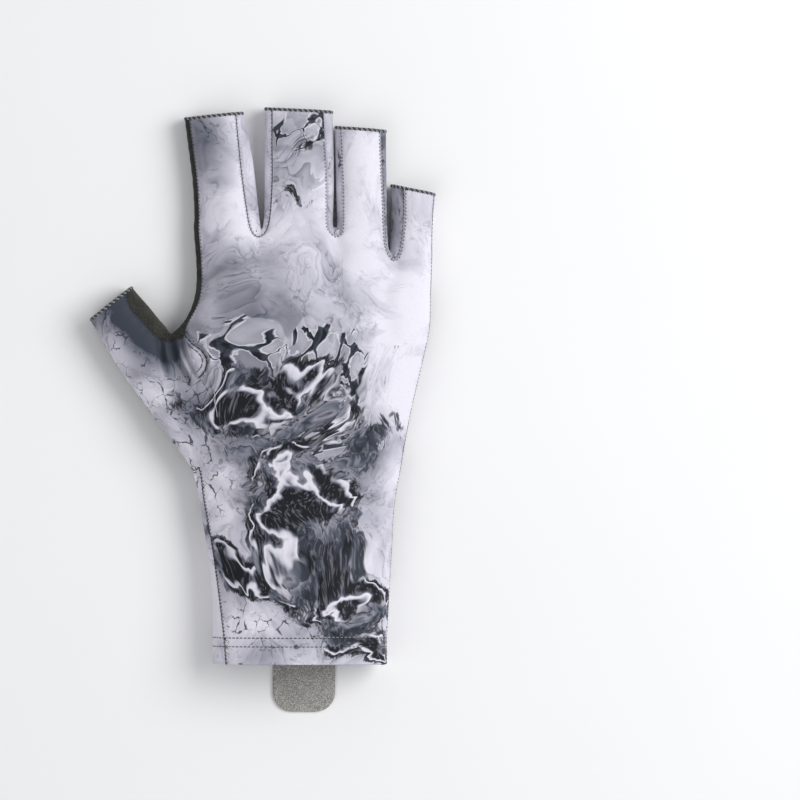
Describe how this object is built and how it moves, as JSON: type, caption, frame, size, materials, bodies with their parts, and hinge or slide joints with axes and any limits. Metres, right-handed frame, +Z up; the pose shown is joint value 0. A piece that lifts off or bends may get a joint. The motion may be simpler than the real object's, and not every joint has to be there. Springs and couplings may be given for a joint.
{
  "type": "fishing glove",
  "caption": "Fingerless stretch-fabric fishing glove for the right hand, lying palm down, with grip patches on the palm, a suede thumb lining side and a pull tab under the cuff.",
  "frame": {"origin": "middle of the glove's footprint on the surface that it lies on, that is the bottom centre of its bounding box", "axes": "+Y along the hand from the cuff to the fingertips, +X across the hand from the thumb to the little finger, +Z up out of the back of the hand"},
  "size_m": [0.132, 0.2306, 0.025],
  "materials": {
    "printed_fabric": "fine stretch jersey, matt, marbled lavender, blue-grey and black print",
    "side_strip": "the same stretch jersey in a darker blue-grey part of the print",
    "suede": "dark grey synthetic suede",
    "scale_grip": "grey synthetic suede with raised fish-scale grip relief",
    "suede_band": "warm grey synthetic suede",
    "tab_suede": "light grey synthetic suede, speckled"
  },
  "bodies": {
    "root": {"back_panel": "printed_fabric", "palm_panel": "printed_fabric", "fourchette_index_middle": "side_strip", "fourchette_middle_ring": "side_strip", "fourchette_ring_pinky": "side_strip", "index_side": "suede", "thumb_palm": "suede", "palm_grip": "scale_grip", "thenar_pad": "scale_grip", "hypothenar_pad": "scale_grip", "middle_band": "suede_band", "ring_band": "suede_band", "pull_tab": "tab_suede"}
  },
  "joints": []
}
